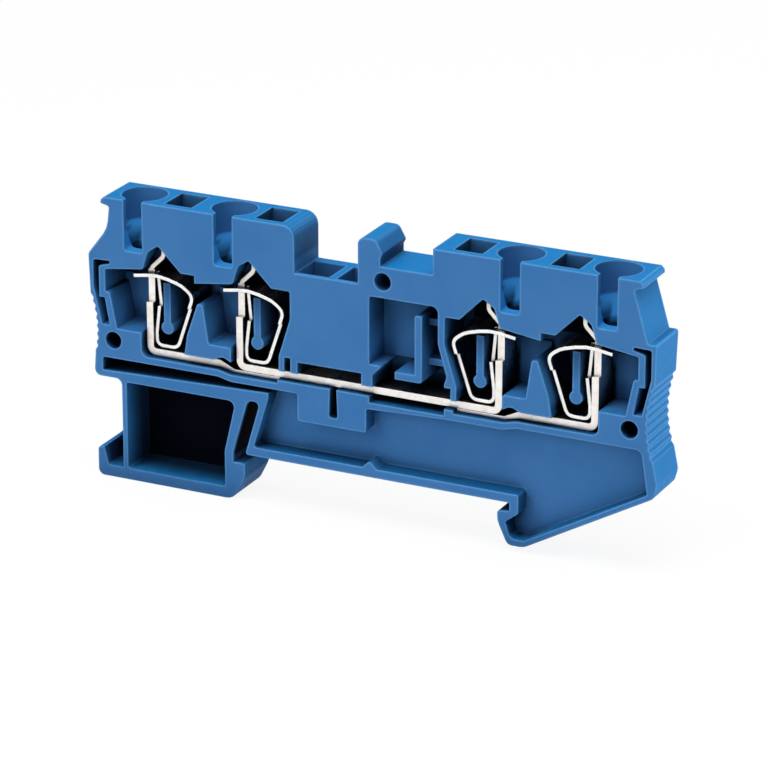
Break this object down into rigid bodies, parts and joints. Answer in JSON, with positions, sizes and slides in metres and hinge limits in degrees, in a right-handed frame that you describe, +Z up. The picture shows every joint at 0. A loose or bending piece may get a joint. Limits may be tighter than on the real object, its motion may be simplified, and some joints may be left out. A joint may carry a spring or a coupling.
{
  "type": "feed-through terminal block",
  "caption": "Slim blue rail-mounted feed-through terminal block, open at the side, with cage spring clamps on bent current bars, wire funnels, tool pockets and a sprung rail foot.",
  "frame": {"origin": "on the rail seat, in the middle of the block's length and thickness", "axes": "+X along the block from the spring foot to the rigid foot, +Y from the open side to the closed side, +Z up from the rail"},
  "size_m": [0.0722, 0.0074, 0.0349],
  "materials": {
    "polyamide": "satin moulded polyamide",
    "tinned_copper": "tin plated",
    "spring_steel": "bright rolled"
  },
  "bodies": {
    "root": {"housing": "polyamide", "current_bar": "tinned_copper", "left_strip": "tinned_copper", "right_strip": "tinned_copper", "clamp_spring_1": "spring_steel", "clamp_spring_2": "spring_steel", "clamp_spring_3": "spring_steel", "clamp_spring_4": "spring_steel"}
  },
  "joints": []
}
